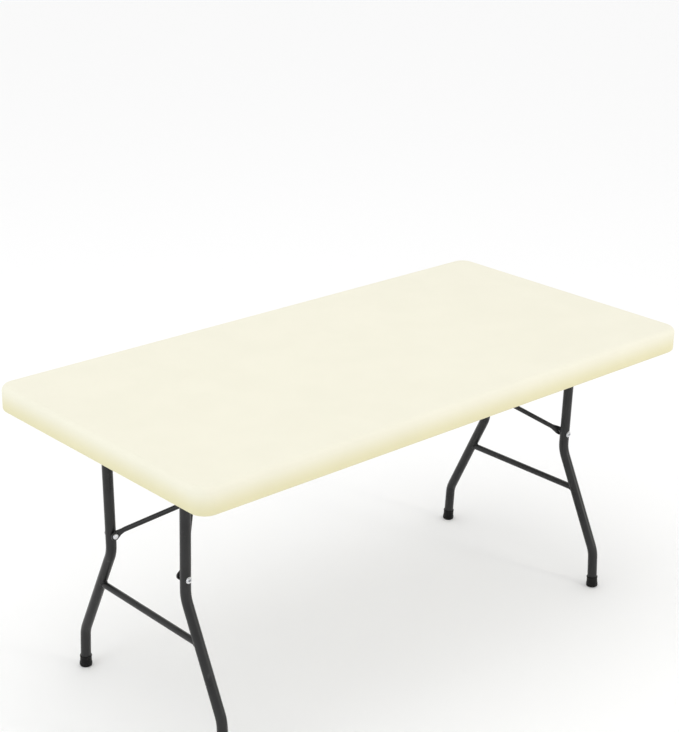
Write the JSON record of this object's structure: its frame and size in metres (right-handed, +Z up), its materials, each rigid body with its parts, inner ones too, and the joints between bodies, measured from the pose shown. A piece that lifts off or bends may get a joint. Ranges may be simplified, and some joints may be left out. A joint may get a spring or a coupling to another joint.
{
  "type": "tablecloth on a table",
  "caption": "Fitted cream tablecloth with an elastic hem, stretched over a rectangular folding banquet table with bent tubular legs and folding stays.",
  "frame": {"origin": "on the floor under the middle of the table", "axes": "+X along the table's length, +Y across it, +Z up"},
  "size_m": [1.53, 0.768, 0.737],
  "materials": {
    "cloth": "matte cream knitted polyester, stretched smooth",
    "elastic": "covered round elastic",
    "moulded_panel": "fine pebbled blow-moulded polyethylene",
    "leg_powder_coat": "charcoal powder coat, fine texture, semi-gloss",
    "rail_paint": "charcoal powder coat, satin",
    "zinc": "bright zinc plate",
    "nylon": "natural nylon",
    "foot_rubber": "black moulded, slightly glossy"
  },
  "bodies": {
    "table": {"table_panel": "moulded_panel", "front_side_rail": "rail_paint", "back_side_rail": "rail_paint", "rail_screws": "zinc", "left_pivot_bushes": "nylon", "right_pivot_bushes": "nylon", "left_keeper_bracket": "leg_powder_coat", "right_keeper_bracket": "leg_powder_coat", "left_keeper_pin": "zinc", "right_keeper_pin": "zinc", "bracket_screws": "zinc", "tablecloth": "cloth", "cloth_hem": "cloth", "hem_elastic": "elastic"},
    "left_legs": {"left_pivot_tube": "leg_powder_coat", "left_front_leg": "leg_powder_coat", "left_back_leg": "leg_powder_coat", "left_crossbar": "leg_powder_coat", "left_front_foot_cap": "foot_rubber", "left_back_foot_cap": "foot_rubber", "left_stay_rivets": "zinc"},
    "left_stay": {"left_front_stay_arm": "leg_powder_coat", "left_back_stay_arm": "leg_powder_coat", "left_knee_rivet": "zinc"},
    "left_link": {"left_stay_link": "leg_powder_coat"},
    "right_legs": {"right_pivot_tube": "leg_powder_coat", "right_front_leg": "leg_powder_coat", "right_back_leg": "leg_powder_coat", "right_crossbar": "leg_powder_coat", "right_front_foot_cap": "foot_rubber", "right_back_foot_cap": "foot_rubber", "right_stay_rivets": "zinc"},
    "right_stay": {"right_front_stay_arm": "leg_powder_coat", "right_back_stay_arm": "leg_powder_coat", "right_knee_rivet": "zinc"},
    "right_link": {"right_stay_link": "leg_powder_coat"}
  },
  "joints": [
    {"name": "left_leg_fold", "type": "hinge", "parent": "table", "child": "left_legs", "pos_m": [-0.628, 0, 0.694], "axis": [0, -1, 0], "range_deg": [0, 90]},
    {"name": "left_stay_fold", "type": "hinge", "parent": "left_legs", "child": "left_stay", "pos_m": [-0.628, 0, 0.403], "axis": [0, -1, 0], "range_deg": [0, 54.63]},
    {"name": "left_link_fold", "type": "hinge", "parent": "table", "child": "left_link", "pos_m": [-0.24, 0, 0.697], "axis": [0, 1, 0], "range_deg": [0, 35.39]},
    {"name": "right_leg_fold", "type": "hinge", "parent": "table", "child": "right_legs", "pos_m": [0.628, 0, 0.694], "axis": [0, 1, 0], "range_deg": [0, 86]},
    {"name": "right_stay_fold", "type": "hinge", "parent": "right_legs", "child": "right_stay", "pos_m": [0.628, 0, 0.403], "axis": [0, 1, 0], "range_deg": [0, 51.89]},
    {"name": "right_link_fold", "type": "hinge", "parent": "table", "child": "right_link", "pos_m": [0.24, 0, 0.697], "axis": [0, -1, 0], "range_deg": [0, 35.9]}
  ],
  "couplings": [
    {"joint": "left_stay_fold", "follows": "left_leg_fold", "ratio": 0.60688},
    {"joint": "left_link_fold", "follows": "left_leg_fold", "ratio": 0.39312},
    {"joint": "right_stay_fold", "follows": "right_leg_fold", "ratio": 0.60322},
    {"joint": "right_link_fold", "follows": "right_leg_fold", "ratio": 0.41737}
  ]
}
